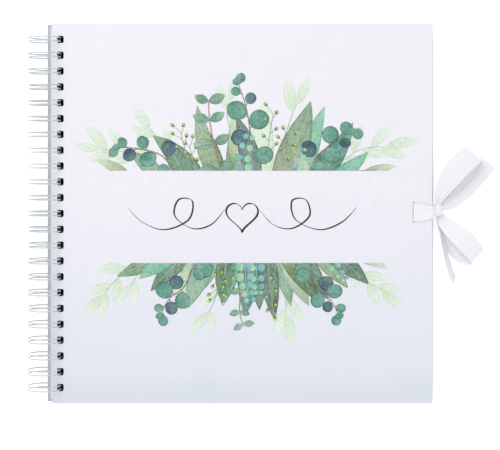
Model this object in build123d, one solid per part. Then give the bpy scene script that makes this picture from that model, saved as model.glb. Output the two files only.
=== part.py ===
from build123d import *
from math import cos, radians, sin, sqrt
import os

# A square wedding guest book: two hard covers and loose card leaves on a white twin-loop wire,
# tied shut at the fore edge with two satin ribbons.
# Millimetres. +X runs from the binding to the fore edge, +Y to the head of the book, +Z up.
# The book is laid out from the axis of the wire loops, then moved so that the origin is the middle
# of its box, at the height of its lowest point.

# ---- covers
cover_width = 305.0  # binding edge to fore edge
cover_height = 305.0  # tail to head
board_thick = 1.8
paper_thick = 0.2
turn_in = 15.0  # how far the wrapping paper folds in over the board
lining_margin = 3.0  # the lining stops this far inside the cover's edges
cover_hole_inset = 6.7  # middle of the punched holes to the binding edge

# ---- leaves
leaf_count = 20
leaf_short = 5.0  # the leaves are this much smaller than the covers, each way
leaf_thick = 0.32
leaf_pitch = 0.36
leaf_hole_inset = 6.0

# ---- punched holes and wire
hole_width = 5.2  # along X
hole_height = 5.8  # along Y
hole_corner = 1.2
loop_pitch = 12.7
least_end_margin = 12.0
wire_diameter = 1.1
leg_spacing = 3.1
loop_room = 14.6  # how much wider the loops are than the closed book is thick
link_bend = 1.5
link_angle = -62.0  # where the legs leave the links, just under the back cover
closing_gap = 18.5  # turn left open between the loops' tips and their own feet
front_drop = 1.1  # underside of the front cover below the loops' axis
front_lean = -0.3  # how far the holes lie from the wire towards the binding, less than 0 if beyond it
back_lean = 0.15
cover_gap = 0.1  # air between a cover and the nearest leaf

# ---- ribbons
ribbon_width = 15.0
ribbon_thick = 0.5
ribbon_rest = 0.05  # air between the ribbon and the cover that it lies on
ribbon_tab = 12.0  # glued length under the lining
slot_inset = 14.9  # slot to fore edge
slot_width = 1.2
slot_clearance = 0.6  # each end of the ribbon in its slot
slot_y = 0.85
recess_depth = 0.6
edge_overhang = 0.8
strap_end_width = 8.0
strap_bend = 0.45
fold_bend = 2.6
knot_length = 7.0
knot_width = 11.0
knot_height = 4.5
knot_fillet = 1.5
knot_beyond = 5.1  # knot to the front cover's fore edge
knot_y = 2.7
knot_drop = 0.85  # top of the knot below the top of the front cover
knot_clearance = 0.4  # air between the knot and the back ribbon under it
root_thick = 0.9
upper_loop_length = 54.5
upper_loop_turn = 56.0
upper_tail_length = 56.5
upper_tail_turn = 42.5
lower_loop_length = 50.0
lower_loop_turn = -50.0
lower_tail_length = 61.0
lower_tail_turn = -76.0
loop_root_width = 6.0
loop_depth = 6.0  # between the two layers of a loop, at its fold

# ---- worked out from the sizes above
cover_thick = board_thick + 3 * paper_thick
leaf_width = cover_width - leaf_short
leaf_height = cover_height - leaf_short
stack_thick = 2 * cover_thick + 2 * cover_gap + leaf_count * leaf_pitch
loop_radius = (stack_thick + loop_room) / 2  # outside of the wire
wire_radius = wire_diameter / 2
wire_run = loop_radius - wire_radius  # axis to the middle of the wire
axis_z = loop_radius
front_z = axis_z - front_drop  # underside of the front cover
front_top = front_z + cover_thick
back_z = front_top - stack_thick  # underside of the back cover
first_leaf_z = front_z - cover_gap - leaf_pitch  # underside of the top leaf
loop_count = int((cover_height - 2 * least_end_margin) / loop_pitch) + 1
loop_ys = [(i - (loop_count - 1) / 2) * loop_pitch for i in range(loop_count)]


def wire_x(z):
    """Where the middle of the wire crosses the height z, on the side of the leaves."""
    return sqrt(wire_run**2 - (z - axis_z) ** 2)


def hole_x(low, thick):
    """Middle of the holes in a sheet, which slides along the wire as the stack gets deeper."""
    share = (low - back_z) / (front_z - back_z)
    lean = back_lean + share * (front_lean - back_lean)
    return (wire_x(low) + wire_x(low + thick)) / 2 - lean


front_hole_x = hole_x(front_z, cover_thick)
back_hole_x = hole_x(back_z, cover_thick)
front_fore = front_hole_x - cover_hole_inset + cover_width
back_fore = back_hole_x - cover_hole_inset + cover_width
front_slot = front_fore - slot_inset
back_slot = back_fore - slot_inset
knot_x = front_fore + knot_beyond
knot_top = front_top - knot_drop
knot_bottom = knot_top - knot_height
root_top = knot_bottom - knot_clearance


def slab(x, low, width, height, thick):
    """A flat sheet from its binding edge x and its underside."""
    return Pos(x + width / 2, 0, low + thick / 2) * Box(width, height, thick)


def punch(sheet, x, low, thick):
    """Cut one hole for each loop."""
    hole = RectangleRounded(hole_width, hole_height, hole_corner)
    outline = Sketch() + [Pos(x, y) * hole for y in loop_ys]
    return sheet - Pos(0, 0, low - thick) * extrude(outline, 3 * thick)


def inset_slab(x, low, margin, thick):
    """A slab that stops the same distance inside all four edges of a cover."""
    return slab(x + margin, low, cover_width - 2 * margin, cover_height - 2 * margin, thick)


def ribbon_slot(x, low):
    """The slit through a cover that its ribbon passes."""
    slit_height = ribbon_width + 2 * slot_clearance
    return Pos(x, slot_y, low + cover_thick / 2) * Box(slot_width, slit_height, 2 * cover_thick)


def ribbon_recess(x, middle):
    """The shallow rebate on a board's inner face that takes the glued end of the ribbon."""
    length = ribbon_tab + slot_width
    recess_height = ribbon_width + 2 * slot_clearance
    return Pos(x + slot_width / 2 - length / 2, slot_y, middle) * Box(length, recess_height, recess_depth)


def cover(name, low, holes, outer_up):
    """Board, wrapping paper and lining of one cover. outer_up is True where its outside faces up."""
    edge = holes - cover_hole_inset
    slot = edge + cover_width - slot_inset
    inner = low if outer_up else low + cover_thick - paper_thick
    folded = low + paper_thick if outer_up else low + cover_thick - 2 * paper_thick
    board_low = low + 2 * paper_thick if outer_up else low + paper_thick
    wrap_low = low + paper_thick if outer_up else low
    recess_z = board_low + recess_depth / 2 if outer_up else board_low + board_thick - recess_depth / 2
    board = inset_slab(edge, board_low, paper_thick, board_thick)
    pad = inset_slab(edge, folded, turn_in, paper_thick)
    wrap = slab(edge, wrap_low, cover_width, cover_height, cover_thick - paper_thick) - board - pad
    lining = inset_slab(edge, inner, lining_margin, paper_thick) + pad
    board -= ribbon_recess(slot, recess_z)
    slit = ribbon_slot(slot, low)
    pieces = {"board": board - slit, "wrap": wrap - (slit - lining), "lining": lining}
    return {
        f"{name}_{key}": punch(piece, holes, low, cover_thick) for key, piece in pieces.items()
    }


def leaves():
    """The card leaves, from the top one down."""
    made = {}
    for i in range(leaf_count):
        low = first_leaf_z - i * leaf_pitch
        holes = hole_x(low, leaf_thick)
        leaf = slab(holes - leaf_hole_inset, low, leaf_width, leaf_height, leaf_thick)
        made[f"leaf_{i + 1:02d}"] = punch(leaf, holes, low, leaf_thick)
    return made


def on_loop(angle, y):
    """The plane across the wire at an angle round the loops, with its X outwards and its Z along the wire."""
    turn = radians(angle)
    outwards = Vector(cos(turn), 0, sin(turn))
    along = Vector(-sin(turn), 0, cos(turn))
    return Plane(Vector(0, y, axis_z) + outwards * wire_run, x_dir=outwards, z_dir=along)


def twin_loop(y):
    """Two legs that run nearly full circle, joined by a round tip."""
    parts = []
    span = 360 - closing_gap
    for side in (-1, 1):
        start = on_loop(link_angle, y + side * leg_spacing / 2)
        parts.append(revolve(start * Circle(wire_radius), Axis((0, 0, axis_z), (0, -1, 0)), span))
    tip = on_loop(link_angle + span, y - leg_spacing / 2)
    centre = tip.origin + Vector(0, leg_spacing / 2, 0)
    parts.append(revolve(tip * Circle(wire_radius), Axis(centre, -tip.x_dir), 180))
    return parts


def link(y):
    """The straight wire from one twin loop to the next, with a bend up into a leg at each end."""
    parts = []
    gap = loop_pitch - leg_spacing
    for side in (-1, 1):
        foot = on_loop(link_angle, y - side * gap / 2)
        centre = foot.origin + Vector(0, side * link_bend, 0)
        parts.append(revolve(foot * Circle(wire_radius), Axis(centre, foot.x_dir * side), 90))
    foot = on_loop(link_angle, y)
    middle = foot.origin - foot.z_dir * link_bend
    run = Plane(middle, x_dir=foot.x_dir, z_dir=(0, 1, 0))
    parts.append(run * Cylinder(wire_radius, gap - 2 * link_bend))
    return parts


def twin_loop_wire():
    """One wire, bent into every loop in turn and closed round the punched holes."""
    pieces = [piece for y in loop_ys for piece in twin_loop(y)]
    pieces += [piece for y in loop_ys[:-1] for piece in link(y + loop_pitch / 2)]
    return pieces[0].fuse(*pieces[1:])


def ribbon_run(points, bend, start_width, end_width):
    """A ribbon along points in its own XZ plane, its width changing evenly from the first X to the last."""
    outline = Plane.XZ * trace(FilletPolyline(*points, radius=bend), ribbon_thick)
    band = extrude(outline, ribbon_width, both=True)
    xs = [x for x, z in points]
    near, far = min(xs) - 1, max(xs) + 1
    half_near, half_far = start_width / 2, end_width / 2
    corners = [(near, -half_near), (far, -half_far), (far, half_far), (near, half_near)]
    return band & extrude(make_face(Polyline(*corners, close=True)), 4 * loop_radius)


def from_knot(turn):
    """Places a piece whose X runs away from the knot."""
    return Pos(knot_x, knot_y, 0) * Rot(0, 0, turn)


def knot():
    """The pinched middle of the bow."""
    block = Box(knot_length, knot_width, knot_height)
    return Pos(knot_x, knot_y, (knot_top + knot_bottom) / 2) * fillet(block.edges(), knot_fillet)


def strap(points):
    """The flat ribbon from under the lining, through the slot and over the fore edge, to the bow."""
    flat_end = points[-2][0]
    outline = Plane.XZ * trace(FilletPolyline(*points, radius=strap_bend), ribbon_thick)
    band = Pos(0, slot_y, 0) * extrude(outline, ribbon_width / 2, both=True)
    half, end_half = ribbon_width / 2, strap_end_width / 2
    start = points[0][0] - 1
    end = max(x for x, z in points) + 1
    corners = [
        (start, slot_y - half), (flat_end, slot_y - half), (end, knot_y - end_half),
        (end, knot_y + end_half), (flat_end, slot_y + half), (start, slot_y + half),
    ]
    return band & extrude(make_face(Polyline(*corners, close=True)), 4 * loop_radius)


def loop_points(length, root_z, fold_low, flat_root):
    """Out along the upper layer of a bow loop, round its fold and back along the lower layer."""
    fold_high = fold_low + loop_depth
    return [
        (0, root_z), (flat_root, root_z + 0.1), (0.4 * length, fold_high), (length, fold_high),
        (length, fold_low), (0.4 * length, fold_low - 0.6), (flat_root, root_z - 1.1), (0, root_z - 1.2),
    ]


def front_ribbon():
    """Glued in the front cover. It carries the knot, the upper loop and the upper tail."""
    tab_z = front_z + 2 * paper_thick + recess_depth / 2
    lie_z = front_top + ribbon_rest + ribbon_thick / 2
    knot_z = (knot_top + knot_bottom) / 2
    points = [
        (front_slot - ribbon_tab, tab_z), (front_slot, tab_z), (front_slot, lie_z),
        (front_fore + edge_overhang, lie_z), (knot_x, knot_z),
    ]
    loop = loop_points(upper_loop_length, knot_z + 0.6, knot_z, knot_length / 2)
    tail = [(0, knot_z), (0.4 * upper_tail_length, knot_z - 1.5), (upper_tail_length, knot_z - 4.5)]
    made = strap(points) + knot()
    made += from_knot(upper_loop_turn) * ribbon_run(loop, fold_bend / 2, loop_root_width, ribbon_width)
    made += from_knot(upper_tail_turn) * ribbon_run(tail, fold_bend, loop_root_width, ribbon_width)
    return made


def back_ribbon():
    """Glued in the back cover. It comes up outside the fore edge and carries the lower loop and tail."""
    tab_z = back_z + cover_thick - 2 * paper_thick - recess_depth / 2
    lie_z = back_z - ribbon_rest - ribbon_thick / 2
    root_z = root_top - root_thick / 2
    clear_x = front_fore + edge_overhang
    points = [
        (back_slot - ribbon_tab, tab_z), (back_slot, tab_z), (back_slot, lie_z),
        (back_fore + edge_overhang, lie_z), (clear_x, (lie_z + root_z) / 2), (knot_x, root_z),
    ]
    loop = loop_points(lower_loop_length, root_top - ribbon_thick, root_z, knot_width / 2 + 1.5)
    root = Pos(knot_x, knot_y, root_z) * Box(knot_length, knot_width, root_thick)
    made = strap(points) + root
    made += from_knot(lower_loop_turn) * ribbon_run(loop, fold_bend / 2, loop_root_width, ribbon_width)
    made += from_knot(lower_tail_turn) * upright_tail(root_z)
    return made


def upright_tail(root_z):
    """The lower tail, which stands on its edge."""
    near, far = knot_width / 2 + 1, lower_tail_length
    low = root_z - ribbon_width / 2
    corners = [
        (0, root_z - root_thick / 2), (0, root_top), (near, root_top), (0.4 * far, low + ribbon_width - 1),
        (far, low + ribbon_width), (far, low), (0.4 * far, low + 2), (near, root_z - 1.5),
    ]
    return extrude(Plane.XZ * make_face(Polyline(*corners, close=True)), ribbon_thick / 2, both=True)


pieces = {
    **cover("front", front_z, front_hole_x, True),
    **cover("back", back_z, back_hole_x, False),
    **leaves(),
    "twin_loop_wire": twin_loop_wire(),
    "front_ribbon": front_ribbon(),
    "back_ribbon": back_ribbon(),
}

box = Compound(children=[copy for piece in pieces.values() for copy in piece.solids()]).bounding_box()
to_origin = Vector(-(box.min.X + box.max.X) / 2, -(box.min.Y + box.max.Y) / 2, -box.min.Z)
os.makedirs("parts", exist_ok=True)
for name, piece in pieces.items():
    export_step(Pos(to_origin) * piece, f"parts/{name}.step")

print("box", box.size)
print("loops' axis", to_origin.X, to_origin.Z + axis_z)
print("origin moved by", to_origin)
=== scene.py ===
from math import atan2, cos, degrees, exp, pi, radians, sin
from random import Random

import bmesh
import bpy
from mathutils import Matrix, Vector


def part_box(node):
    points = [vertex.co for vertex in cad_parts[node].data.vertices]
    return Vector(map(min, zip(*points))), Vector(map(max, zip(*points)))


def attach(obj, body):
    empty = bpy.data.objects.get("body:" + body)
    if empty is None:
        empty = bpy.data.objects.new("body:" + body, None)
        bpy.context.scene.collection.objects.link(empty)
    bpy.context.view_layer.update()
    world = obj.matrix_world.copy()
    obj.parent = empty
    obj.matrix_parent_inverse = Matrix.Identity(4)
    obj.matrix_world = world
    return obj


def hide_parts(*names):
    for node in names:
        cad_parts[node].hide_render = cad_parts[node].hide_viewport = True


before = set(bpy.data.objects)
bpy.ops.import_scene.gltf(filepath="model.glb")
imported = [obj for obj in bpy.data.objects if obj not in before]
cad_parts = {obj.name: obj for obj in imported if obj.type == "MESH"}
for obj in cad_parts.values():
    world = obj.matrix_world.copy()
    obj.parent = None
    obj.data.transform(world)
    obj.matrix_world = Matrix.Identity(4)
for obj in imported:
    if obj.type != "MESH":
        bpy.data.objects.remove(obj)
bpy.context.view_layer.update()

# ---- places, from the frame. Metres, with MM for sizes that read better in millimetres
MM = 0.001
cover_low, cover_high = (Vector(corner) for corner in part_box("front_wrap"))
back_low, back_high = (Vector(corner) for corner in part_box("back_wrap"))
wire_low, wire_high = (Vector(corner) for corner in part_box("twin_loop_wire"))
centre = (cover_low + cover_high) / 2
cover_top = cover_high.z
loop_axis = (wire_low + wire_high) / 2
WIRE_RADIUS = 0.55 * MM
wire_run = (wire_high.x - wire_low.x) / 2 - WIRE_RADIUS  # axis to the middle of the wire
back_level = (back_low.z - cover_top) / MM  # the book's underside, in millimetres as on_book takes them

# ---- the punched holes: along the wire's own circle in every sheet, one row for each loop
LOOP_PITCH = 12.7 * MM
HOLE_HALF = 3.0 * MM
HOLE_ROWS_END = 146 * MM  # no holes beyond this, towards the head and the tail
HOLE_WALLS = (-4.8 * MM, 4.2 * MM)  # how far from the wire the cut walls lie, at any height
HOLE_FAR_WALL = (2.45 * MM, 2.9 * MM)  # the wall towards the fore edge, in the lowest and the highest leaf
HOLE_STEP = 0.32 * MM  # how much of a leaf shows past the hole above it
HOLE_SHADE = (0.004, 0.004, 0.005)


def on_book(x, y, z):
    """A point given in millimetres from the middle of the front cover's top face."""
    return Vector((centre.x + x * MM, centre.y + y * MM, cover_top + z * MM))


# ---- camera: straight down on the book. Height and place in millimetres from the middle of its cover
CAMERA_HEIGHT = 1100
CAMERA_X = 3.1
CAMERA_Y = 42.9
CAMERA_LENS = 98.7
CAMERA_SHIFT = (0.008, -0.130)

# painted light: how strongly the floor glows of its own, away from the book
FLOOR_GLOW = 0.42
CONTACT_SHADE = 2.5 * MM  # the shade beside the fore edge, on the floor

# ---- the bare band across the print, in millimetres from the cover's middle
BAND_TOP = 34.4
BAND_BOTTOM = -39.8
INK_BASE = 0.02  # height of the lowest printed layer above the cover
INK_LAYER = 0.010  # each sprig lies this much above the one before
INK_STEP = 0.0012  # each leaf of a sprig lies this much above the one before
HEART_SIZE = 0.8
HEART_DROP = 1.5  # how far the heart's middle lies below the cover's

# ---- how finely the paint and the pen lines are divided
LEAF_ROWS = 16
LEAF_COLUMNS = 6
STEM_ROWS = 10  # for each stretch between two points
PEN_ROWS = 12  # for each stretch between two points
LINE_COLUMNS = 2  # across a stem or a pen line
DISC_STEPS = 26
DISC_RINGS = 4

# ---- ribbons
BACK_SLOT_INSET = 14.9  # from the back cover's fore edge to the ribbon in its slot, in millimetres

# ---- fine patterns, as turns of a sine in radians
RIBS_PER_METRE = 9000.0  # across the satin
VEIN_COUNT = 46.0  # along a painted leaf
VEIN_SLANT = 9.0  # how far the veins run back from its rib

# ---- colours of the materials, linear
# painted light on the cover paper: the head colour is the lit one, the tail colour darker and bluer, and the
# tail edge colour is painted shade
PAPER_HEAD = (0.805, 0.782, 0.825)
PAPER_TAIL = (0.68, 0.715, 0.772)
PAPER_TAIL_EDGE_SHADE = (0.60, 0.64, 0.695)
PAPER_THREADS = (0.64, 0.66, 0.72)
PAPER_CLOUDS = (0.78, 0.78, 0.83)
# painted shade on the faces where the cover's paper is turned in
PAPER_TURN_IN_SHADE = (0.47, 0.50, 0.545)
LINING_TONES = ((0.70, 0.70, 0.70), (0.78, 0.78, 0.775))
CARD_TONES = ((0.72, 0.725, 0.73), (0.80, 0.80, 0.80))
CARD_EDGE = (0.60, 0.61, 0.62)
BOARD_TONES = ((0.26, 0.24, 0.21), (0.42, 0.39, 0.35))
WIRE_TONES = ((0.46, 0.505, 0.52), (0.58, 0.615, 0.63))
WIRE_SCUFFS = (0.36, 0.40, 0.42)
SATIN_TONES = ((0.775, 0.78, 0.812), (0.84, 0.84, 0.868))
SATIN_EDGE = (0.60, 0.62, 0.68)
FLOOR_TONES = ((0.93, 0.93, 0.93), (0.96, 0.96, 0.96))

# ---- paint colours, linear
PALE = (0.61, 0.72, 0.545)
FADED = (0.75, 0.81, 0.72)
SAGE = (0.24, 0.39, 0.24)
MID = (0.15, 0.30, 0.18)
TEAL = (0.065, 0.235, 0.17)
SEA = (0.15, 0.37, 0.27)
DARK = (0.066, 0.145, 0.078)
SLATE = (0.066, 0.155, 0.13)
OLIVE = (0.25, 0.285, 0.13)
NAVY = (0.035, 0.085, 0.17)
MINT = (0.22, 0.53, 0.36)
SKY = (0.19, 0.42, 0.56)
STEM = (0.24, 0.15, 0.155)
BROWN = (0.38, 0.26, 0.21)
GREEN_STEM = (0.26, 0.42, 0.24)
BUD = (0.45, 0.55, 0.11)
BUD_CUP = (0.07, 0.12, 0.05)
WASH = (0.62, 0.76, 0.70)
VEIN = (0.55, 0.66, 0.50)
INK = (0.012, 0.013, 0.015)
THIN_INK = (0.03, 0.032, 0.036)


def make_camera():
    data = bpy.data.cameras.new("camera")
    data.lens = CAMERA_LENS
    data.shift_x, data.shift_y = CAMERA_SHIFT
    camera = bpy.data.objects.new("camera", data)
    camera.location = on_book(CAMERA_X, CAMERA_Y, CAMERA_HEIGHT)
    bpy.context.scene.collection.objects.link(camera)
    bpy.context.scene.camera = camera


# ---------------------------------------------------------------- node helpers
class Shader:
    """A material with a Principled shader and short calls that add the nodes before it."""

    def __init__(self, name, roughness=0.6, **sockets):
        self.material = bpy.data.materials.new(name)
        self.material.use_nodes = True
        self.nodes = self.material.node_tree.nodes
        self.links = self.material.node_tree.links
        self.shader = self.nodes["Principled BSDF"]
        self.shader.inputs["Roughness"].default_value = roughness
        for socket, value in sockets.items():
            self.shader.inputs[socket.replace("_", " ")].default_value = value

    def join(self, source, target):
        self.links.new(source, target)

    def place(self, stretch=(1, 1, 1)):
        """Object coordinates in metres, stretched along each axis."""
        coordinates = self.nodes.new("ShaderNodeTexCoord")
        mapping = self.nodes.new("ShaderNodeMapping")
        mapping.inputs["Scale"].default_value = stretch
        self.join(coordinates.outputs["Object"], mapping.inputs["Vector"])
        return mapping.outputs["Vector"]

    def noise(self, scale, detail=3.0, vector=None, rough=0.5):
        node = self.nodes.new("ShaderNodeTexNoise")
        node.inputs["Scale"].default_value = scale
        node.inputs["Detail"].default_value = detail
        node.inputs["Roughness"].default_value = rough
        self.join(vector or self.place(), node.inputs["Vector"])
        return node.outputs["Fac"]

    def math(self, operation, first, second=0.0):
        node = self.nodes.new("ShaderNodeMath")
        node.operation = operation
        for socket, value in zip(node.inputs, (first, second)):
            if isinstance(value, (int, float)):
                socket.default_value = value
            else:
                self.join(value, socket)
        return node.outputs["Value"]

    def spread(self, value, low, high, to_low=0.0, to_high=1.0):
        """Maps low..high to to_low..to_high and stops at both ends."""
        node = self.nodes.new("ShaderNodeMapRange")
        self.join(value, node.inputs["Value"])
        limits = {"From Min": low, "From Max": high, "To Min": to_low, "To Max": to_high}
        for socket, number in limits.items():
            node.inputs[socket].default_value = number
        return node.outputs["Result"]

    def mix(self, factor, first, second, blend="MIX"):
        node = self.nodes.new("ShaderNodeMix")
        node.data_type = "RGBA"
        node.blend_type = blend
        self.join(factor, node.inputs["Factor"])
        colour_inputs = [socket for socket in node.inputs if socket.type == "RGBA"]
        for socket, value in zip(colour_inputs, (first, second)):
            if isinstance(value, tuple):
                socket.default_value = (*value, 1)
            else:
                self.join(value, socket)
        return next(socket for socket in node.outputs if socket.type == "RGBA")

    def colour(self, source):
        self.join(source, self.shader.inputs["Base Color"])

    def facing(self):
        """The surface's own direction, as X, Y and Z of the object."""
        geometry = self.nodes.new("ShaderNodeNewGeometry")
        turn = self.nodes.new("ShaderNodeVectorTransform")
        turn.vector_type = "NORMAL"
        turn.convert_from, turn.convert_to = "WORLD", "OBJECT"
        self.join(geometry.outputs["Normal"], turn.inputs["Vector"])
        return self.split(turn.outputs["Vector"])

    def between(self, value, low, high):
        """1 from low to high, and 0 outside."""
        above = self.math("GREATER_THAN", value, low)
        below = self.math("LESS_THAN", value, high)
        return self.math("MULTIPLY", above, below)

    def flatness(self, when_upright, when_flat):
        """One value on upright faces and another on level ones."""
        return self.spread(self.math("ABSOLUTE", self.facing()[2]), 0.3, 0.7, when_upright, when_flat)

    def beyond_wire(self):
        """How far a point lies from the middle of the wire towards the fore edge, at its own height."""
        x, _, z = self.split(self.place())
        drop = self.math("SUBTRACT", z, loop_axis.z)
        square = self.math("SUBTRACT", wire_run**2, self.math("MULTIPLY", drop, drop))
        return self.math("SUBTRACT", self.math("SUBTRACT", x, loop_axis.x), self.math("SQRT", square))

    def in_hole_rows(self):
        """1 beside the loops, where the holes are, and 0 between them."""
        y = self.split(self.place())[1]
        share = self.math("FRACT", self.math("ADD", self.math("DIVIDE", y, LOOP_PITCH), 0.5))
        half = HOLE_HALF / LOOP_PITCH
        inner = self.math("LESS_THAN", self.math("ABSOLUTE", y), HOLE_ROWS_END)
        return self.math("MULTIPLY", inner, self.between(share, 0.5 - half, 0.5 + half))

    def punched(self, source, steps=False):
        """The colour with the cut walls of the punched holes in deep shade. With steps, the sliver of each
        leaf that shows past the hole above it is in the shade too."""
        flat = self.flatness(0.0, 1.0)
        beyond = self.beyond_wire()
        upright = self.math("SUBTRACT", 1.0, flat)
        shaded = self.math("MULTIPLY", upright, self.between(beyond, *HOLE_WALLS))
        if steps:
            height = self.split(self.place())[2]
            far_wall = self.spread(height, back_low.z, cover_low.z, *HOLE_FAR_WALL)
            past = self.math("SUBTRACT", beyond, far_wall)
            step = self.math("MULTIPLY", flat, self.between(past, -HOLE_STEP / 2, HOLE_STEP))
            shaded = self.math("MAXIMUM", shaded, step)
        return self.mix(self.math("MULTIPLY", shaded, self.in_hole_rows()), source, HOLE_SHADE)

    def rough(self, source):
        self.join(source, self.shader.inputs["Roughness"])

    def bump(self, height, distance, strength=1.0):
        node = self.nodes.new("ShaderNodeBump")
        node.inputs["Distance"].default_value = distance
        node.inputs["Strength"].default_value = strength
        self.join(height, node.inputs["Height"])
        self.join(node.outputs["Normal"], self.shader.inputs["Normal"])

    def split(self, vector):
        node = self.nodes.new("ShaderNodeSeparateXYZ")
        self.join(vector, node.inputs["Vector"])
        return node.outputs

    def attribute(self, name):
        node = self.nodes.new("ShaderNodeAttribute")
        node.attribute_name = name
        return node.outputs


# ---------------------------------------------------------------- materials
def cover_paper(name, inner_side):
    """White wrapping paper with a fine woven grain. Painted light makes it a little darker and bluer towards
    the tail, and painted shade darkens it near the tail edge and greys it where it is turned in. inner_side
    is 1 where the cover's inner face looks up, and -1 where it looks down."""
    s = Shader(name, roughness=0.55, Specular_IOR_Level=0.3)
    height = s.split(s.place())[1]
    # painted light: lighter towards the head, darker and bluer towards the tail; then painted shade near the
    # tail edge
    pigment_wash_and_painted_light = s.spread(height, cover_low.y * 0.9, cover_high.y * 0.12)
    tail_edge_shade = s.spread(height, cover_low.y + 8 * MM, cover_low.y + 26 * MM, 0.55, 0)
    base = s.mix(tail_edge_shade, s.mix(pigment_wash_and_painted_light, PAPER_TAIL, PAPER_HEAD), PAPER_TAIL_EDGE_SHADE)
    across = s.noise(900, 2, s.place((1, 0.06, 1)))
    along = s.noise(900, 2, s.place((0.06, 1, 1)))
    weave = s.math("MULTIPLY", s.math("ADD", across, along), 0.5)
    cloud = s.noise(14, 3)
    toned = s.mix(s.spread(weave, 0.35, 0.65, 0, 0.30), base, PAPER_THREADS)
    outside = s.mix(s.spread(cloud, 0.35, 0.7, 0, 0.15), toned, PAPER_CLOUDS)
    # painted shade: greyer on the cover's inner faces, where the paper is turned in
    turn_in_shade = s.spread(s.math("MULTIPLY", s.facing()[2], inner_side), 0.4, 0.7)
    s.colour(s.punched(s.mix(turn_in_shade, outside, PAPER_TURN_IN_SHADE)))
    s.rough(s.spread(weave, 0.3, 0.7, 0.48, 0.64))
    s.bump(weave, 0.00010, 0.5)
    return s.material


def lining_paper():
    s = Shader("lining_paper", roughness=0.75, Specular_IOR_Level=0.25)
    fibres = s.noise(1500, 4)
    s.colour(s.punched(s.mix(s.spread(fibres, 0.3, 0.7), *LINING_TONES)))
    s.bump(fibres, 0.00004, 0.5)
    return s.material


def leaf_card():
    """Smooth white card, with faint fibres and slightly darker cut edges."""
    s = Shader("leaf_card", roughness=0.7, Specular_IOR_Level=0.25)
    fibres = s.noise(2200, 4)
    tone = s.mix(s.spread(fibres, 0.3, 0.7), *CARD_TONES)
    s.colour(s.punched(s.mix(s.flatness(0.3, 0.0), tone, CARD_EDGE), steps=True))
    s.bump(fibres, 0.00003, 0.4)
    return s.material


def grey_board():
    s = Shader("grey_board", roughness=0.9, Specular_IOR_Level=0.15)
    flecks = s.noise(700, 5)
    s.colour(s.punched(s.mix(s.spread(flecks, 0.35, 0.65), *BOARD_TONES)))
    s.bump(flecks, 0.0001, 0.6)
    return s.material


def coated_wire():
    """Steel wire in a white nylon coat, with faint drawing marks and small scuffs."""
    s = Shader("coated_wire", roughness=0.32, Coat_Weight=0.25)
    s.shader.inputs["Coat Roughness"].default_value = 0.25
    scuffs = s.noise(420, 5, rough=0.7)
    tint = s.mix(s.spread(scuffs, 0.35, 0.62), *WIRE_TONES)
    s.colour(s.mix(s.spread(scuffs, 0.68, 0.76, 0, 0.6), tint, WIRE_SCUFFS))
    s.rough(s.spread(scuffs, 0.3, 0.75, 0.24, 0.5))
    s.bump(scuffs, 0.00004, 0.5)
    return s.material


def satin():
    """White satin: fine ribs across the ribbon, a woven edge each side and a soft sheen."""
    s = Shader("satin", roughness=0.34, Sheen_Weight=0.35, Specular_IOR_Level=0.55)
    s.shader.inputs["Sheen Roughness"].default_value = 0.35
    s.shader.inputs["Anisotropic"].default_value = 0.5
    across, along, _ = s.split(s.attribute("place")["Vector"])
    ribs = s.math("SINE", s.math("MULTIPLY", along, RIBS_PER_METRE))
    threads = s.noise(260, 3, s.attribute("place")["Vector"])
    edge = s.spread(s.math("ABSOLUTE", across), 0.90, 0.96)
    tone = s.mix(s.spread(threads, 0.3, 0.7), *SATIN_TONES)
    s.colour(s.mix(s.math("MULTIPLY", edge, 0.35), tone, SATIN_EDGE))
    s.rough(s.spread(threads, 0.3, 0.7, 0.28, 0.46))
    s.bump(s.math("ADD", s.math("MULTIPLY", ribs, 0.25), s.math("ADD", threads, edge)), 0.00006, 0.6)
    return s.material


def watercolour():
    """Paint for the printed foliage. Its place attribute holds across (-1 to 1), along (0 to 1) and how
    strongly the leaf is veined (0 to 1)."""
    s = Shader("watercolour", roughness=0.6, Specular_IOR_Level=0.25)
    tint = s.attribute("tint")["Color"]
    across, along, own = s.split(s.attribute("place")["Vector"])
    side = s.math("ABSOLUTE", across)
    blots = s.noise(95, 4, rough=0.6)
    fine = s.noise(520, 3, rough=0.6)
    pigment_wash_and_painted_light = s.mix(s.spread(blots, 0.38, 0.68, 0, 0.24), tint, WASH)
    deep = s.mix(s.spread(fine, 0.46, 0.72, 0, 0.6), pigment_wash_and_painted_light, tint, "MULTIPLY")
    pooled = s.mix(s.spread(side, 0.78, 1.0, 0, 0.55), deep, tint, "MULTIPLY")
    rib = s.math("MULTIPLY", s.spread(side, 0.02, 0.07, 1, 0), s.spread(own, 0.0, 1.0, 0.0, 0.4))
    ribbed = s.mix(rib, pooled, VEIN)
    slant = s.math("SUBTRACT", s.math("MULTIPLY", along, VEIN_COUNT), s.math("MULTIPLY", side, VEIN_SLANT))
    veins = s.math("MULTIPLY", s.spread(s.math("SINE", slant), 0.75, 1.0, 0, 0.16), s.spread(own, 0.2, 0.9))
    s.colour(s.mix(veins, ribbed, VEIN))
    s.rough(s.spread(fine, 0.3, 0.7, 0.5, 0.66))
    s.bump(fine, 0.00002, 0.4)
    return s.material


def printed_ink():
    s = Shader("printed_ink", roughness=0.45)
    grain = s.noise(1200, 3)
    s.colour(s.mix(s.spread(grain, 0.3, 0.8), INK, THIN_INK))
    s.bump(grain, 0.00001, 0.3)
    return s.material


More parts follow.
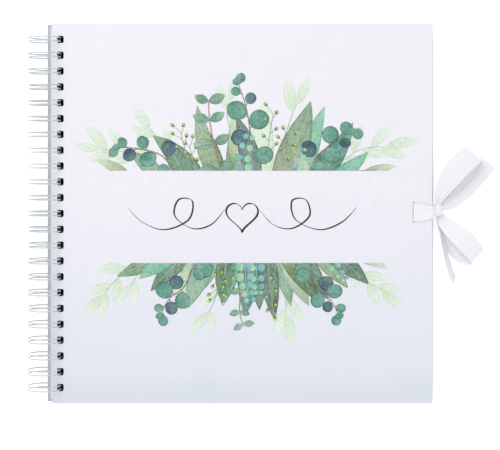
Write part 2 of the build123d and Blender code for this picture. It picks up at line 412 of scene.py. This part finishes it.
def floor_paper():
    """A pale table with painted light: it glows a little, as if lit from below for a catalogue picture, but
    not under the book nor just beyond its fore edge, where the missing glow is painted shade.
    """
    s = Shader("floor", roughness=0.9, Specular_IOR_Level=0.1)
    shaded_low = back_low.x + MM - loop_axis.x  # the floor's own origin is under the loops
    shaded_high = cover_high.x + CONTACT_SHADE - loop_axis.x
    s.colour(s.mix(s.spread(s.noise(6, 3), 0.3, 0.7), *FLOOR_TONES))
    s.shader.inputs["Emission Color"].default_value = (1, 1, 1, 1)
    x, y, _ = s.split(s.place())
    beyond_x = s.math("SUBTRACT", 1.0, s.between(x, shaded_low, shaded_high))
    beyond_y = s.math("GREATER_THAN", s.math("ABSOLUTE", y), back_high.y - MM)
    glow = s.math("MULTIPLY", s.math("MAXIMUM", beyond_x, beyond_y), FLOOR_GLOW)
    s.join(glow, s.shader.inputs["Emission Strength"])
    return s.material


# ---------------------------------------------------------------- mesh helpers
def new_object(name, bm, materials):
    mesh = bpy.data.meshes.new(name)
    bm.to_mesh(mesh)
    bm.free()
    piece = bpy.data.objects.new(name, mesh)
    for material in materials:
        mesh.materials.append(material)
    bpy.context.scene.collection.objects.link(piece)
    for polygon in mesh.polygons:
        polygon.use_smooth = True
    return piece


def blend_colours(first, second, share):
    return tuple(a + (b - a) * share for a, b in zip(first, second))


def catmull(points, share):
    """A smooth curve through every point; share runs from 0 to 1."""
    spans = len(points) - 1
    at = min(share * spans, spans - 1e-9)
    i = int(at)
    t = at - i
    p0, p1, p2, p3 = (points[max(0, min(spans, i + k))] for k in (-1, 0, 1, 2))
    square = 2 * p0 - 5 * p1 + 4 * p2 - p3
    cube = 3 * (p1 - p2) + p3 - p0
    return 0.5 * (2 * p1 + (p2 - p0) * t + square * t**2 + cube * t**3)


def middle_line(path, step):
    """Gives the point and the heading, in radians, at any share of a path."""

    def middle(share):
        here = catmull(path, share)
        ahead, behind = catmull(path, min(1, share + step)), catmull(path, max(0, share - step))
        return here.x, here.y, atan2(ahead.y - behind.y, ahead.x - behind.x)

    return middle


def growing_point(path, share, step=0.02):
    """The point where something grows from a stem, and the stem's heading there, in radians."""
    here, ahead = catmull(path, min(1 - step, share)), catmull(path, min(1, share + step))
    return here, atan2(ahead.y - here.y, ahead.x - here.x)


# ---------------------------------------------------------------- printed foliage
class Print:
    """Flat painted shapes a hair above the front cover, clipped to one side of the bare band."""

    def __init__(self, name, seed):
        self.name = name
        self.random = Random(seed)
        self.bm = bmesh.new()
        self.tint = self.bm.verts.layers.float_color.new("tint")
        self.where = self.bm.verts.layers.float_vector.new("place")
        self.layer = 0
        self.step = 0

    def new_layer(self):
        self.layer += 1
        self.step = 0

    def height(self):
        self.step += 1
        return INK_BASE + self.layer * INK_LAYER + self.step * INK_STEP

    def vertex(self, x, y, z, colour, across, along, own):
        v = self.bm.verts.new(on_book(x, y, z))
        v[self.tint] = (*colour, 1)
        v[self.where] = (across, along, own)
        return v

    def strip(self, middle, half_width, colours, rows, columns, own):
        """Rows of vertices across a curved middle line. middle(s) gives x, y and the heading in radians."""
        z = self.height()
        grid = []
        for row in range(rows + 1):
            s = row / rows
            x, y, heading = middle(s)
            half = half_width(s)
            line = []
            for column in range(columns + 1):
                across = 2 * column / columns - 1
                px = x - sin(heading) * half * across
                py = y + cos(heading) * half * across
                line.append(self.vertex(px, py, z, blend_colours(*colours, s), across, s, own))
            grid.append(line)
        for low, high in zip(grid, grid[1:]):
            for k in range(columns):
                self.bm.faces.new((low[k], high[k], high[k + 1], low[k + 1]))

    def leaf(self, x, y, angle, length, width, base, tip, bend=0.0, blunt=1.0, own=0.8):
        """A leaf from its stalk outwards. blunt under 1 moves the widest part outwards."""
        wobble = self.random.uniform(0.94, 1.06)
        lighter = self.random.uniform(-0.05, 0.10)
        base, tip = (blend_colours(c, (1, 1, 1), max(0, lighter)) for c in (base, tip))
        start = radians(angle)
        turn = radians(bend)

        def middle(s):
            heading = start + turn * (s - 0.5)
            back = start + turn * (s / 2 - 0.5)
            return x + cos(back) * length * s, y + sin(back) * length * s, heading

        def half(s):
            return 0.5 * width * wobble * max(0.012, sin(pi * s**blunt)) ** 0.85

        self.strip(middle, half, (base, tip), LEAF_ROWS, LEAF_COLUMNS, own)

    def disc(self, x, y, radius, colour, edge, squash=0.92, turn=0.0, own=0.0):
        """A round leaf or berry, paler on one side."""
        z = self.height()
        hub = self.vertex(x, y, z, blend_colours(colour, edge, 0.35), 0, 0.5, own)
        last = None
        uneven = [self.random.uniform(-0.025, 0.025) for _ in range(3)]
        for ring in range(1, DISC_RINGS + 1):
            share = ring / DISC_RINGS
            line = []
            for k in range(DISC_STEPS):
                a = 2 * pi * k / DISC_STEPS
                swell = 1 + sum(u * cos((n + 2) * a) for n, u in enumerate(uneven))
                dx, dy = radius * share * swell * cos(a), radius * share * swell * squash * sin(a)
                px = x + dx * cos(turn) - dy * sin(turn)
                py = y + dx * sin(turn) + dy * cos(turn)
                tone = blend_colours(colour, edge, 0.5 + 0.5 * share * sin(a))
                line.append(self.vertex(px, py, z, tone, share, 0.5 + 0.5 * share * sin(a), own))
            for k in range(DISC_STEPS):
                n = (k + 1) % DISC_STEPS
                if last is None:
                    self.bm.faces.new((hub, line[k], line[n]))
                else:
                    self.bm.faces.new((last[k], line[k], line[n], last[n]))
            last = line

    def stem(self, points, start_width, end_width, colour):
        """A thin painted line through points, thinner towards its end."""
        path = [Vector(p) for p in points]

        def half(s):
            return (start_width + (end_width - start_width) * s) / 2

        rows = STEM_ROWS * (len(path) - 1)
        self.strip(middle_line(path, 0.01), half, (colour, colour), rows, LINE_COLUMNS, 0.0)
        return path

    def stalk(self, here, x, y, bow, widths, colour):
        """A short stem from a point to x, y, with its middle moved by bow."""
        middle = ((here.x + x) / 2 + bow[0], (here.y + y) / 2 + bow[1])
        self.stem([here.xy, middle, (x, y)], *widths, colour)

    # ---- whole sprigs
    def round_sprig(self, points, size, flip=1):
        """Round leaves in turn on both sides of a mauve stem, smaller towards its end, some of them navy."""
        self.new_layer()
        path = self.stem(points, 1.1, 0.5, STEM)
        count = 7
        for k in range(count):
            s = 0.14 + 0.80 * k / (count - 1)
            here, heading = growing_point(path, s)
            side = flip * (1 if k % 2 else -1)
            radius = size * (0.62 + 0.38 * sin(pi * min(1, 1.25 * s))) * self.random.uniform(0.72, 1.12)
            lean = heading + side * radians(62 - 20 * s)
            reach = radius + 2.6 - s
            x, y = here.x + cos(lean) * reach, here.y + sin(lean) * reach
            self.stalk(here, x, y, (0, 0.2), (0.55, 0.4), STEM)
            if k % 3 == 1:
                self.disc(x, y, radius * 0.9, NAVY, SLATE, turn=lean)
            else:
                self.disc(x, y, radius, TEAL, SEA, turn=lean)
        tip = catmull(path, 1.0)
        self.disc(tip.x, tip.y, size * 0.46, TEAL, SEA, 0.8, turn=radians(20))

    def pair_sprig(self, points, length, colour, edge, pairs=5):
        """Small pointed leaves in opposite pairs on a brown stem."""
        self.new_layer()
        path = self.stem(points, 1.2, 0.7, BROWN)
        for k in range(pairs):
            s = 0.12 + 0.84 * k / (pairs - 1)
            here, heading = growing_point(path, s)
            for side in (-1, 1):
                lean = degrees(heading) + side * self.random.uniform(62, 84)
                size = length * (1 - 0.22 * s) * self.random.uniform(0.9, 1.08)
                self.leaf(here.x, here.y, lean, size, size * 0.56, colour, edge, -side * 18, 0.95, 0.9)

    def spray(self, points, spread=26, count=7):
        """Tiny yellow buds in dark cups on fine branching stalks."""
        self.new_layer()
        path = self.stem(points, 0.7, 0.35, GREEN_STEM)
        for k in range(count):
            s = 0.25 + 0.75 * k / (count - 1)
            here, heading = growing_point(path, s, 0.03)
            side = 1 if k % 2 else -1
            lean = heading + side * radians(spread * self.random.uniform(0.6, 1.5))
            reach = self.random.uniform(6, 10)
            x, y = here.x + cos(lean) * reach, here.y + sin(lean) * reach
            self.stalk(here, x, y, (0.3, 0), (0.4, 0.3), GREEN_STEM)
            self.disc(x, y, 1.6, BUD_CUP, DARK, 0.8, lean)
            self.disc(x + 0.7 * cos(lean), y + 0.7 * sin(lean), 1.2, BUD, BUD, 0.85, lean)

    def bead_row(self, points, radius, count=6):
        """Pale round beads up both sides of a slender stem."""
        self.new_layer()
        path = self.stem(points, 0.6, 0.4, MINT)
        for k in range(count):
            s = 0.06 + 0.9 * k / (count - 1)
            here, heading = growing_point(path, s)
            for side in (-1, 1):
                lean = heading + side * pi / 2
                size = radius * (1.05 - 0.45 * s) * self.random.uniform(0.85, 1.1)
                x, y = here.x + cos(lean) * size * 1.2, here.y + sin(lean) * size * 1.2
                if side > 0:
                    self.disc(x, y, size, SKY, MINT, 0.95, heading)
                else:
                    self.disc(x, y, size, MINT, blend_colours(MINT, PALE, 0.5), 0.95, heading)

    def pale_branch(self, points, length, count=5):
        """Long pale leaves that fade towards their tips, in turn along a thin stalk."""
        self.new_layer()
        path = self.stem(points, 0.6, 0.35, SAGE)
        for k in range(count):
            s = 0.30 + 0.70 * k / (count - 1)
            here, heading = growing_point(path, s)
            side = 1 if k % 2 else -1
            at_tip = k == count - 1
            lean = degrees(heading) + (0 if at_tip else side * self.random.uniform(24, 42))
            size = length * self.random.uniform(0.86, 1.06)
            self.leaf(here.x, here.y, lean, size, size * 0.33, PALE, FADED, -side * 16, 0.9, 0.35)

    def big_leaves(self, rows):
        """Broad leaves behind the sprigs: x and y of the foot, heading, length, width, colour, colour of the
        tip, bend."""
        for x, y, angle, length, width, base, tip, bend in rows:
            self.new_layer()
            self.leaf(x, y, angle, length, width, base, tip, bend, 0.85, 0.95)

    def finish(self, edge, keep_above, material):
        """Cuts the paint straight along the band's edge and makes the piece."""
        bmesh.ops.bisect_plane(
            self.bm, geom=self.bm.verts[:] + self.bm.edges[:] + self.bm.faces[:],
            plane_co=on_book(0, edge, 0), plane_no=(0, -1 if keep_above else 1, 0), clear_outer=True,
        )
        piece = new_object(self.name, self.bm, [material])
        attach(piece, "front_cover")


def upper_print(material):
    paint = Print("foliage_above", 11)
    base = BAND_TOP - 6
    paint.pale_branch([(-62, base), (-88, 47), (-114, 52)], 25, 6)
    paint.pale_branch([(-52, base + 4), (-66, 58), (-74, 68)], 24, 3)
    paint.pale_branch([(66, base), (92, 50), (116, 54)], 25, 6)
    paint.pale_branch([(30, 50), (39, 76), (44, 88)], 27, 3)
    paint.pale_branch([(-4, 46), (-12, 78), (-10, 90)], 22, 3)
    paint.big_leaves([
        (-60, base - 4, 140, 40, 13, SAGE, MID, 8),
        (-36, base - 6, 124, 46, 15, SLATE, MID, 10),
        (-14, base - 8, 108, 54, 13, DARK, OLIVE, -8),
        (-6, base - 8, 92, 50, 14, SAGE, OLIVE, 8),
        (34, base - 8, 80, 52, 14, DARK, SLATE, 10),
        (44, base - 8, 48, 60, 13, SLATE, DARK, 10),
        (66, base - 6, 20, 36, 11, SLATE, SEA, 10),
        (-88, base - 2, 150, 34, 9, OLIVE, PALE, 24),
        (92, base - 2, 20, 34, 9, OLIVE, PALE, -30),
        (-30, base - 6, 136, 58, 17, DARK, SAGE, 14),
        (-44, base - 4, 118, 38, 15, MID, DARK, 10),
        (-20, base - 6, 104, 66, 14, OLIVE, SAGE, -12),
        (2, base - 6, 98, 62, 15, OLIVE, PALE, -10),
        (16, base - 8, 88, 70, 18, PALE, FADED, -8),
        (12, base - 8, 106, 60, 17, SLATE, DARK, 12),
        (56, base - 8, 58, 62, 15, SLATE, SEA, 14),
        (48, base - 6, 74, 66, 15, SEA, MINT, -14),
        (64, base - 6, 36, 46, 12, SEA, MINT, 20),
        (24, base - 8, 66, 76, 21, OLIVE, MID, 18),
        (84, base - 2, 12, 30, 9, SEA, SAGE, -16),
        (52, base - 2, 116, 34, 11, PALE, OLIVE, 30),
    ])
    paint.round_sprig([(12, base), (7, 62), (3, 86), (-4, 106)], 8.2)
    paint.round_sprig([(-52, base), (-64, 46), (-84, 52), (-101, 53)], 7.4, -1)
    paint.round_sprig([(52, base), (60, 46), (76, 58), (88, 66)], 7.4)
    paint.pair_sprig([(-17, base), (-22, 52), (-26, 74), (-27, 91)], 17, TEAL, SAGE, 4)
    paint.bead_row([(2, base), (1, 44), (6, 62)], 3.6, 5)
    paint.bead_row([(42, base), (46, 42), (49, 52)], 2.6, 4)
    paint.spray([(-42, base), (-46, 52), (-50, 66)], 30, 6)
    paint.spray([(-36, base), (-40, 44), (-42, 54)], 34, 5)
    paint.spray([(20, 40), (22, 62), (25, 80)], 34, 6)
    paint.spray([(32, base), (34, 48), (36, 62)], 34, 6)
    paint.finish(BAND_TOP, True, material)


def lower_print(material):
    paint = Print("foliage_below", 23)
    base = BAND_BOTTOM + 6
    paint.pale_branch([(-82, base), (-100, -52), (-112, -66)], 24, 5)
    paint.pale_branch([(-70, base), (-84, -50), (-90, -58)], 20, 3)
    paint.pale_branch([(82, base), (96, -50), (112, -62)], 24, 5)
    paint.pale_branch([(-14, base - 14), (-24, -74), (-28, -80)], 22, 3)
    paint.pale_branch([(28, base - 6), (34, -66), (36, -82)], 24, 4)
    paint.big_leaves([
        (-40, base + 6, 226, 48, 14, MID, DARK, 8),
        (-16, base + 8, 244, 44, 14, SAGE, MID, 10),
        (-4, base + 8, 256, 50, 13, MID, SEA, -8),
        (14, base + 8, 270, 52, 15, TEAL, DARK, 6),
        (27, base + 8, 284, 50, 14, SAGE, MID, -6),
        (44, base + 8, 300, 50, 14, MID, SLATE, 8),
        (54, base + 8, 312, 46, 14, SAGE, OLIVE, -10),
        (-58, base + 6, 208, 48, 14, OLIVE, MID, -16),
        (-46, base + 6, 214, 44, 14, SEA, MINT, 14),
        (-30, base + 6, 238, 46, 15, SAGE, PALE, -12),
        (-10, base + 8, 262, 46, 15, DARK, MID, 10),
        (-24, base + 6, 248, 52, 16, SEA, SAGE, 10),
        (6, base + 8, 266, 56, 17, SLATE, TEAL, -8),
        (20, base + 8, 276, 60, 15, SLATE, DARK, 6),
        (34, base + 8, 292, 52, 15, PALE, SAGE, 12),
        (28, base + 8, 306, 56, 16, OLIVE, DARK, -12),
        (62, base + 8, 322, 50, 16, SLATE, DARK, -14),
        (82, base + 6, 334, 38, 11, OLIVE, PALE, -18),
    ])
    paint.disc(-31, base - 11, 7.6, TEAL, SEA)
    paint.disc(49, base - 10, 6.6, TEAL, SEA)
    paint.round_sprig([(-36, base), (-46, -58), (-58, -68), (-66, -82)], 7.4, -1)
    paint.round_sprig([(52, base), (60, -58), (70, -68), (78, -82)], 7.4)
    paint.pair_sprig([(0, base), (-1, -58), (-2, -78), (1, -90)], 11, SAGE, TEAL, 4)
    paint.bead_row([(2, base), (3, -54), (6, -70)], 3.9, 6)
    paint.bead_row([(11, base), (12, -52), (13, -64)], 3.4, 5)
    paint.bead_row([(70, base), (76, -46), (83, -53)], 2.8, 4)
    paint.spray([(-20, base), (-19, -52), (-21, -66)], 30, 7)
    paint.spray([(28, base), (25, -58), (24, -76)], 26, 6)
    paint.spray([(-12, base), (-13, -48), (-11, -60)], 30, 5)
    paint.finish(BAND_BOTTOM, False, material)


def flourish(material):
    """A plain pen-drawn heart between two tapering swashes, in the bare band."""
    paint = Print("flourish", 5)
    heart = []
    for k in range(41):
        t = 2 * pi * k / 40
        x = 16 * sin(t) ** 3
        y = 13 * cos(t) - 5 * cos(2 * t) - 2 * cos(3 * t) - cos(4 * t)
        heart.append((HEART_SIZE * x, HEART_SIZE * y - HEART_DROP))

    def pen(points, thick):
        """A line that is thicker in some directions, as a nib draws it, and tapers at both ends."""
        path = [Vector(p) for p in points]
        middle = middle_line(path, 0.004)

        def half(s):
            heading = middle(s)[2]
            nib = 0.32 + 0.68 * abs(sin(heading + 0.5))
            taper = min(1.0, 6 * s + 0.15, 6 * (1 - s) + 0.15)
            return 0.5 * thick * nib * taper

        paint.strip(middle, half, (INK, INK), PEN_ROWS * (len(path) - 1), LINE_COLUMNS, 0.0)

    pen(heart, 1.7)
    swash = [
        (14, 3), (25, -9), (40, -12), (54, -2), (51, 11),
        (40, 10), (43, -5), (62, -13), (80, -7), (92, 5),
    ]
    for side in (-1, 1):
        pen([(side * x, y) for x, y in swash], 1.5)
    piece = new_object("flourish", paint.bm, [material])
    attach(piece, "front_cover")


# ---------------------------------------------------------------- ribbons
def strip_rows(rows, count):
    """Smooth rows through given pairs of edge points, in millimetres, each with its depth of crease."""
    left = [Vector(r[0]) for r in rows]
    right = [Vector(r[1]) for r in rows]
    creases = [Vector((r[2], 0, 0)) for r in rows]
    for k in range(count + 1):
        s = k / count
        yield catmull(left, s), catmull(right, s), catmull(creases, s).x


def add_ribbon(bm, where, rows, count, folds=3.0, belly=0.6, phase=0.0):
    """One length of ribbon between its two edges, creased lengthwise where it is gathered."""
    columns = 14
    grid = []
    run = 0.0
    before = None
    for left, right, crease in strip_rows(rows, count):
        here = (left + right) / 2
        if before is None:
            along = Vector((1, 0, 0))
        else:
            along = here - before
            run += along.length
        across = right - left
        normal = across.cross(along)
        normal = normal.normalized() if normal.length > 1e-6 else Vector((0, 0, 1))
        line = []
        for c in range(columns + 1):
            t = c / columns
            wave = sin(2 * pi * folds * t + phase + 0.02 * run)  # the creases wander along the ribbon
            lift = crease * wave * sin(pi * t) ** 0.3
            lift += belly * (sin(pi * t) - 0.6)
            point = left + across * t + normal * lift
            v = bm.verts.new(on_book(point.x, point.y, point.z))
            v[where] = (2 * t - 1, run * MM, 0)
            line.append(v)
        grid.append(line)
        before = here
    for low, high in zip(grid, grid[1:]):
        for c in range(columns):
            bm.faces.new((low[c], low[c + 1], high[c + 1], high[c]))


def ribbon_object(name, lengths, body, node, material):
    """One ribbon of several lengths, in place of its CAD node."""
    bm = bmesh.new()
    where = bm.verts.layers.float_vector.new("place")
    for options in lengths:
        add_ribbon(bm, where, **options)
    piece = new_object(name, bm, [material])
    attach(piece, body)
    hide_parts(node)


def front_ribbon(material):
    """The strap over the fore edge, the upper loop and the upper tail. Each row is a pair of edge points and
    how deep the creases are there."""
    on_top = 0.25
    strap = [
        ((137.5, -6.65, -1.2), (137.5, 8.35, -1.2), 0),
        ((137.7, -6.65, on_top), (137.7, 8.35, on_top), 0),
        ((142, -6.5, on_top + 0.1), (142, 8.1, on_top + 0.1), 0.05),
        ((148, -5.6, on_top + 0.25), (148, 7.0, on_top + 0.25), 0.25),
        ((153.0, -3.9, on_top + 0.2), (153.0, 6.0, on_top + 0.1), 0.45),
        ((155.4, -2.4, -1.35), (155.4, 5.6, -1.35), 0.5),
        ((157.6, -1.0, -2.55), (157.6, 5.0, -2.55), 0.5),
    ]
    loop = [
        ((156.0, 5.0, -2.55), (159.2, 5.0, -2.55), 0.5),
        ((154.4, 14.0, 1.45), (162.4, 11.0, 0.65), 0.5),
        ((157.4, 29.0, 4.95), (171.8, 22.0, 4.05), 0.3),
        ((166.3, 43.3, 6.05), (182.4, 33.4, 5.45), 0.16),
        ((176.4, 51.8, 4.45), (190.4, 40.8, 3.85), 0.1),
        ((181.0, 53.4, 0.65), (192.8, 42.4, 0.25), 0.08),
        ((178.0, 50.6, -2.75), (192.0, 38.4, -3.15), 0.1),
        ((170.6, 40.4, -4.15), (186.6, 29.8, -4.55), 0.2),
        ((162.6, 27.0, -4.35), (175.8, 18.8, -4.75), 0.35),
        ((158.0, 13.0, -3.55), (165.2, 8.8, -3.65), 0.5),
        ((156.6, 5.0, -3.25), (159.6, 4.6, -3.35), 0.4),
    ]
    tail = [
        ((157.8, 5.0, -3.55), (160.2, 1.6, -3.55), 0.4),
        ((163.5, 12.5, -4.55), (171.0, 4.2, -5.15), 0.45),
        ((174.0, 26.0, -6.55), (184.6, 13.8, -6.75), 0.25),
        ((184.5, 37.5, -7.55), (195.8, 25.4, -7.55), 0.15),
        ((193.5, 46.4, -7.95), (204.4, 35.8, -7.95), 0.1),
    ]
    lengths = [
        {"rows": strap, "count": 60, "folds": 2.0, "belly": 0.25},
        {"rows": loop, "count": 120, "belly": 0.35, "phase": 0.6},
        {"rows": tail, "count": 60, "belly": 0.8, "phase": 1.4},
    ]
    ribbon_object(
        "front_ribbon_satin", lengths, "front_cover", "front_ribbon", material,
    )


def back_ribbon(material):
    """The strap under the book and round its fore edge, the lower loop and the lower tail."""
    under = back_level - 0.25
    edge = back_high.x / MM - centre.x / MM
    slot = edge - BACK_SLOT_INSET
    strap = [
        ((slot, -6.65, back_level + 1.2), (slot, 8.35, back_level + 1.2), 0),
        ((slot + 0.2, -6.65, under), (slot + 0.2, 8.35, under), 0),
        ((slot + 7, -6.6, under - 0.05), (slot + 7, 8.3, under - 0.05), 0),
        ((edge, -6.5, under), (edge, 8.2, under), 0.05),
        ((edge + 1.4, -6.2, -10.95), (edge + 1.4, 8.0, -10.95), 0.2),
        ((edge + 4.0, -4.0, -7.95), (edge + 4.0, 7.0, -7.95), 0.4),
        ((157.0, -1.0, -6.15), (157.0, 5.0, -6.15), 0.4),
    ]
    loop = [
        ((156.4, 0.5, -5.95), (159.6, 1.4, -5.95), 0.3),
        ((157.6, -8.0, -4.95), (165.6, -2.6, -4.75), 0.45),
        ((163.4, -17.4, -1.55), (176.2, -10.2, -1.15), 0.3),
        ((173.0, -28.0, -0.15), (186.8, -18.6, 0.25), 0.16),
        ((184.0, -39.8, -3.15), (193.8, -28.8, -2.95), 0.1),
        ((180.4, -41.6, -7.35), (190.6, -31.2, -6.95), 0.12),
        ((170.6, -37.0, -8.95), (181.6, -25.4, -8.55), 0.2),
        ((162.8, -25.4, -8.95), (171.8, -16.0, -8.55), 0.35),
        ((157.6, -9.0, -7.35), (162.6, -5.6, -6.95), 0.45),
        ((156.8, 0.6, -6.35), (159.6, 1.0, -6.35), 0.3),
    ]
    tail = [
        ((156.8, 0.6, -6.75), (158.6, 0.2, -6.15), 0.2),
        ((159.4, -12.0, -10.15), (160.0, -10.8, -4.55), 0.2),
        ((162.9, -30.6, -11.75), (164.7, -28.2, -1.95), 0.3),
        ((166.6, -46.2, -12.25), (169.2, -43.4, -0.35), 0.3),
        ((171.4, -58.6, -12.45), (172.0, -50.0, -0.55), 0.3),
    ]
    lengths = [
        {"rows": strap, "count": 60, "folds": 2.0, "belly": 0.1},
        {"rows": loop, "count": 110, "belly": 0.3, "phase": 0.3},
        {"rows": tail, "count": 60, "belly": 0.6, "phase": 2.1},
    ]
    ribbon_object(
        "back_ribbon_satin", lengths, "back_cover", "back_ribbon", material,
    )


def knot(material):
    """The tight turn round the middle of the bow, with pulled creases."""
    bm = bmesh.new()
    where = bm.verts.layers.float_vector.new("place")
    middle, half = Vector((157.6, 2.7, -3.05)), Vector((3.4, 5.4, 2.4))
    around, along = 40, 24
    grid = []
    for i in range(along + 1):
        a = pi * (0.04 + 0.92 * i / along)
        line = []
        for k in range(around):
            b = 2 * pi * k / around
            swell = 1 + 0.07 * sin(5 * b + 2.2 * cos(a)) + 0.05 * sin(9 * b + 3 * a)
            ring = sin(a) ** 0.55
            pinch = 1 - 0.14 * exp(-((a - pi / 2) / 0.25) ** 2)
            x = middle.x + half.x * ring * cos(b) * swell * pinch
            z = middle.z + half.z * ring * sin(b) * swell
            y = middle.y - half.y * cos(a) + 0.5 * sin(b)
            v = bm.verts.new(on_book(x, y, z))
            v[where] = (0.0, (i + k * 0.1) * MM, 0)
            line.append(v)
        grid.append(line)
    for low, high in zip(grid, grid[1:]):
        for k in range(around):
            n = (k + 1) % around
            bm.faces.new((low[k], low[n], high[n], high[k]))
    bm.faces.new(grid[0][::-1])
    bm.faces.new(grid[-1])
    piece = new_object("ribbon_knot", bm, [material])
    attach(piece, "front_cover")


# ---------------------------------------------------------------- finishes of the CAD nodes
def dress(name, material):
    mesh = bpy.data.objects[name].data
    mesh.materials.clear()
    mesh.materials.append(material)


def dress_nodes():
    dress("front_wrap", cover_paper("front_paper", -1))
    dress("back_wrap", cover_paper("back_paper", 1))
    dress("twin_loop_wire", coated_wire())
    lining, card, board = lining_paper(), leaf_card(), grey_board()
    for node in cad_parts:
        if node.endswith("_lining"):
            dress(node, lining)
        elif node.endswith("_board"):
            dress(node, board)
        elif node.startswith("leaf_"):
            dress(node, card)


# ---------------------------------------------------------------- studio
def make_floor():
    """A wide plain surface. It tilts a little, so that the loops and the ribbon under the fore edge touch
    it."""
    bm = bmesh.new()
    bmesh.ops.create_grid(bm, x_segments=2, y_segments=2, size=3.0)
    floor = new_object("floor", bm, [floor_paper()])
    rise = back_low.z - 0.6 * MM
    slope = atan2(rise, back_high.x - loop_axis.x)
    place = Matrix.Translation((loop_axis.x, 0, wire_low.z - 0.02 * MM))
    floor.matrix_world = place @ Matrix.Rotation(-slope, 4, "Y")


def area_light(name, location, size, energy, colour):
    data = bpy.data.lights.new(name, "AREA")
    data.size = size
    data.energy = energy
    data.color = colour
    light = bpy.data.objects.new(name, data)
    light.location = location
    light.rotation_euler = (-Vector(location)).to_track_quat("-Z", "Y").to_euler()
    bpy.context.scene.collection.objects.link(light)


def make_studio():
    make_floor()
    area_light("key", (-0.7, 0.9, 1.5), 1.1, 11, (1.0, 0.985, 0.975))
    area_light("fill", (0.9, -0.9, 1.3), 1.6, 3, (0.93, 0.96, 1.0))
    world = bpy.data.worlds.new("studio")
    world.use_nodes = True
    background = world.node_tree.nodes["Background"]
    background.inputs["Color"].default_value = (0.97, 0.98, 1.0, 1)
    background.inputs["Strength"].default_value = 0.88
    bpy.context.scene.world = world
    bpy.context.scene.view_settings.view_transform = "Standard"


make_camera()
make_studio()
dress_nodes()
paint = watercolour()
upper_print(paint)
lower_print(paint)
flourish(printed_ink())
silk = satin()
front_ribbon(silk)
back_ribbon(silk)
knot(silk)
